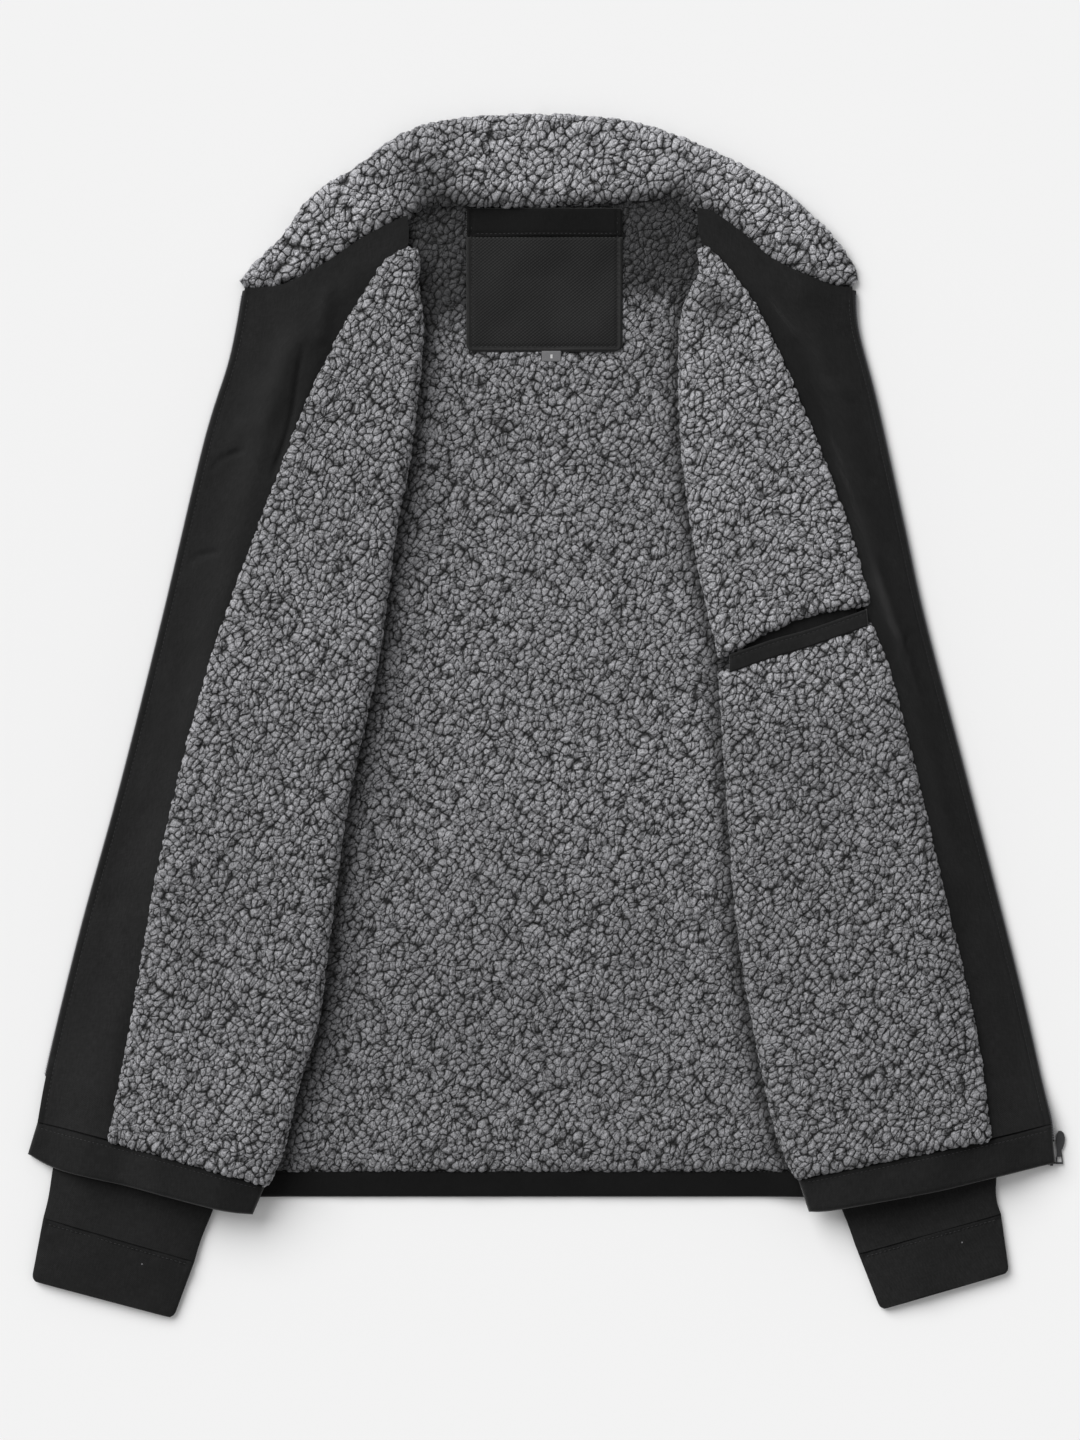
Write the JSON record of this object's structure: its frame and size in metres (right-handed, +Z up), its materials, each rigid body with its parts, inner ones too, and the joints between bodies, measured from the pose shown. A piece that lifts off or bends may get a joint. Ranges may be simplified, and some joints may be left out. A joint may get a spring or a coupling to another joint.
{
  "type": "sherpa lined jacket laid open",
  "caption": "Zip jacket laid open on its back, inside up: sherpa lining and collar, dark twill facings, hem and cuffs, inside pocket, hanger patch.",
  "frame": {"origin": "on the surface the jacket lies on, under the middle of its box", "axes": "+Z up from the surface, +Y from the hem towards the collar, +X towards the front that carries the slider and the inside pocket"},
  "size_m": [0.7256, 0.8394, 0.0354],
  "materials": {
    "twill": "matte, fine diagonal weave",
    "sherpa": "curled pile, matte",
    "collar_sherpa": "curled pile, matte",
    "mesh": "fine spacer mesh, matte",
    "tab": "woven label, matte",
    "tape": "woven tape",
    "metal": "dark satin"
  },
  "bodies": {
    "jacket": {"back_shell": "twill", "back_lining": "sherpa", "back_hem_band": "twill", "collar": "collar_sherpa", "under_collar": "twill", "patch_band": "twill", "hanger_patch": "mesh", "size_tab": "tab", "sleeve_left": "twill", "sleeve_right": "twill", "cuff_left": "twill", "cuff_right": "twill", "front_shell_left": "twill", "front_shell_right": "twill", "facing_left": "twill", "facing_right": "twill", "front_lining_left": "sherpa", "front_lining_right_upper": "sherpa", "front_lining_right_lower": "sherpa", "hem_band_left": "twill", "hem_band_right": "twill", "pocket_welt": "twill", "pocket_bag": "twill", "zip_tape_left": "tape", "zip_tape_right": "tape", "zip_slider": "metal"},
    "pull": {"zip_pull": "metal"}
  },
  "joints": [
    {"name": "pull_tab", "type": "hinge", "parent": "jacket", "child": "pull", "pos_m": [0.356, -0.3114, 0.0019], "axis": [1, 0, 0], "range_deg": [0, 178]}
  ]
}
